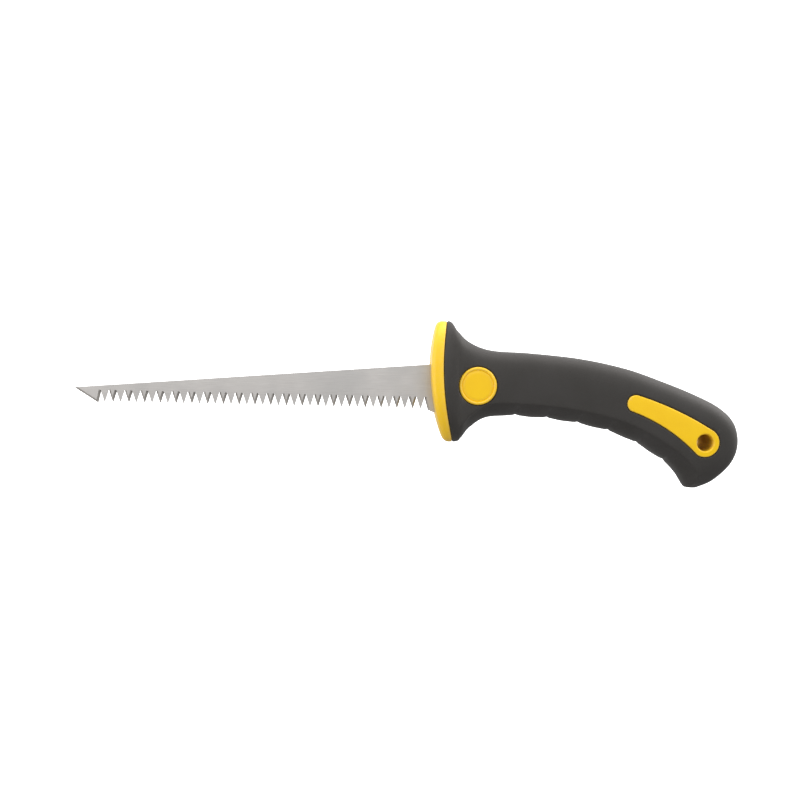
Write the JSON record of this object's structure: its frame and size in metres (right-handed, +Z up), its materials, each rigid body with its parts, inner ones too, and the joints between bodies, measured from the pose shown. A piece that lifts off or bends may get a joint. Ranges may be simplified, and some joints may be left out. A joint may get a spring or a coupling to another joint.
{
  "type": "drywall saw",
  "caption": "Hand saw for plasterboard: a tapered, sharp-pointed toothed blade fixed in a curved rubber-covered handle with a flared guard, badges and a hanging hole.",
  "frame": {"origin": "centre of the hanging hole, on the handle's middle plane", "axes": "+X from the blade's point towards the butt of the handle, +Y across the handle from the left side to the right, +Z up from the teeth to the blade's back"},
  "size_m": [0.3062, 0.0322, 0.0771],
  "materials": {
    "blade_steel": "satin ground sheet steel with a fine lengthwise grain, and bare ground bevels on alternate sides of the teeth",
    "yellow_plastic": "satin moulded polypropylene, warm yellow",
    "core_plastic": "plain moulded polypropylene, hidden",
    "grip_rubber": "soft matt thermoplastic rubber, dark warm grey, finely textured",
    "fastener_steel": "zinc plated"
  },
  "bodies": {
    "root": {"blade": "blade_steel", "guard_rim": "yellow_plastic", "grip": "grip_rubber", "core_left": "core_plastic", "core_right": "core_plastic", "badge_left": "yellow_plastic", "badge_right": "yellow_plastic", "inlay_left": "yellow_plastic", "inlay_right": "yellow_plastic", "blade_bolt": "fastener_steel", "barrel_nut": "fastener_steel", "tang_rivet": "fastener_steel", "shell_screw_front": "fastener_steel", "shell_screw_middle": "fastener_steel", "shell_screw_rear": "fastener_steel", "shell_screw_butt": "fastener_steel"}
  },
  "joints": []
}
